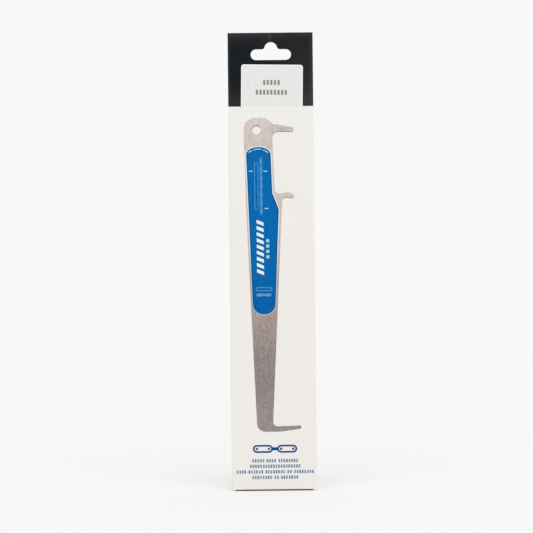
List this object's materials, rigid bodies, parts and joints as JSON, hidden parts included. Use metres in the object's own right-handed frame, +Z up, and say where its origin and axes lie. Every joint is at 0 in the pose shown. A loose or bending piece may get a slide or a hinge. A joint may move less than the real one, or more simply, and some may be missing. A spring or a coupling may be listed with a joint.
{
  "type": "hanging carton",
  "caption": "Tall slim printed board carton, closed and glued, with a folded header and a hang slot, a paper label and a life-size picture of a hooked chain wear gauge on its front",
  "frame": {"origin": "centre of the carton's foot, on the surface that it stands on", "axes": "+X across the front to the right, +Y from the printed front to the plain back, +Z up towards the header"},
  "size_m": [0.065, 0.0152, 0.3501],
  "materials": {
    "board": "coated white carton board, satin face, raw white core at its cut edges",
    "black_ink": "soft satin black print on coated board",
    "label_paper": "matte off-white label paper",
    "grey_ink": "matte grey thermal print",
    "steel_tone_ink": "warm grey print of ground steel, light at the top and darker down the blade",
    "shade_ink": "dark warm grey print",
    "pale_ink": "pale blue grey print",
    "navy_ink": "satin dark blue print",
    "light_blue_ink": "satin light blue print",
    "blue_ink": "satin mid blue print",
    "title_ink": "satin deep blue print",
    "caption_ink": "slate blue print"
  },
  "bodies": {
    "root": {"carton": "board", "header_print": "black_ink", "stock_label": "label_paper", "label_print": "grey_ink", "gauge_print": "steel_tone_ink", "shade_print": "shade_ink", "keyline_print": "pale_ink", "rim_print": "navy_ink", "panel_print": "blue_ink", "drawing_print": "light_blue_ink", "title_print": "title_ink", "caption_print": "caption_ink"}
  },
  "joints": []
}
